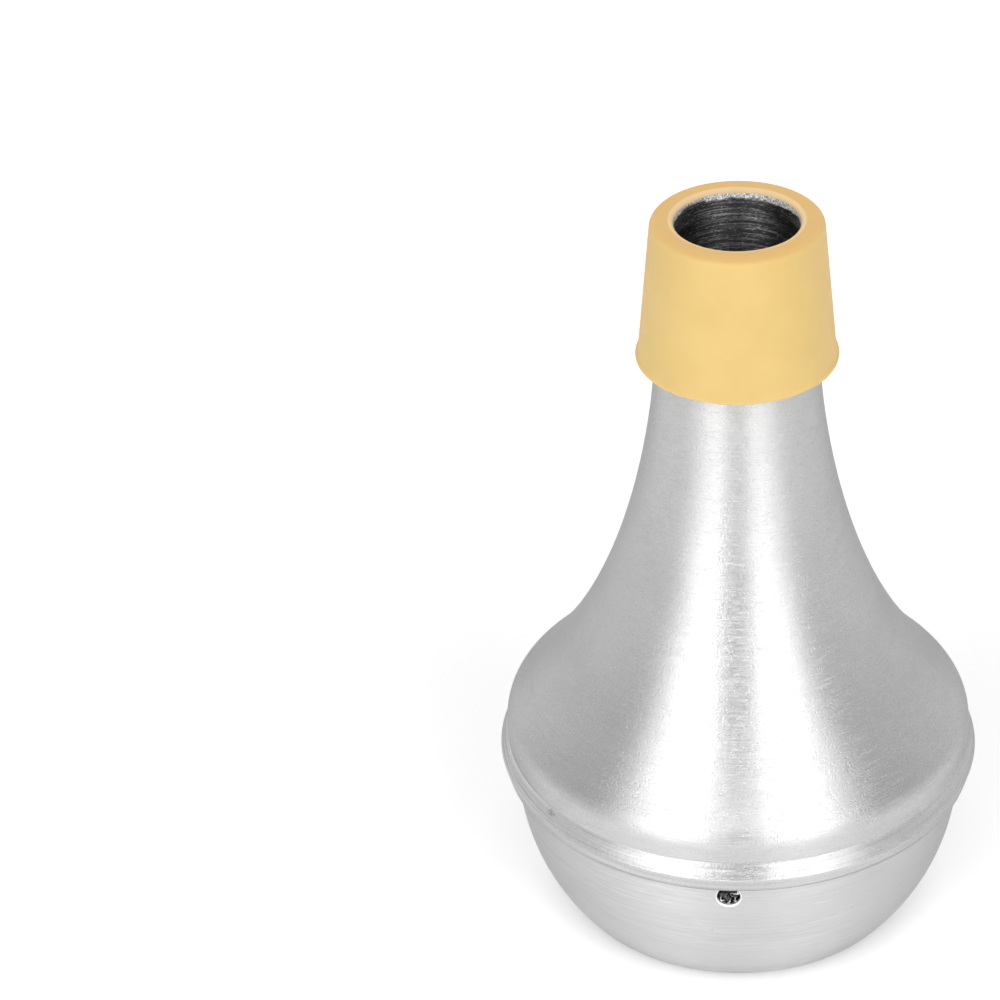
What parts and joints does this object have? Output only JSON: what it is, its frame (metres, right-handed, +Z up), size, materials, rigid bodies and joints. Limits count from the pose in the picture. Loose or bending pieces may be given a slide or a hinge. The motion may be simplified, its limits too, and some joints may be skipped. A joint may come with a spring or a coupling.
{
  "type": "practice mute",
  "caption": "Spun aluminium practice mute for a trumpet: flared shell, rolled band, bowl with a small vent, and a tapered elastomer collar on the neck.",
  "frame": {"origin": "centre of the flat base, on the surface that the mute stands on", "axes": "+Z up the axis through the neck; the vent in the bowl looks towards -Y"},
  "size_m": [0.095, 0.095, 0.1512],
  "materials": {
    "shell_aluminium": "brushed",
    "bowl_aluminium": "brushed",
    "sealing_compound": "matte",
    "grey_felt": "felted",
    "collar_elastomer": "satin"
  },
  "bodies": {
    "root": {"flare_shell": "shell_aluminium", "bowl": "bowl_aluminium", "seam_seal": "sealing_compound", "damping_felt": "grey_felt", "neck_collar": "collar_elastomer"}
  },
  "joints": []
}
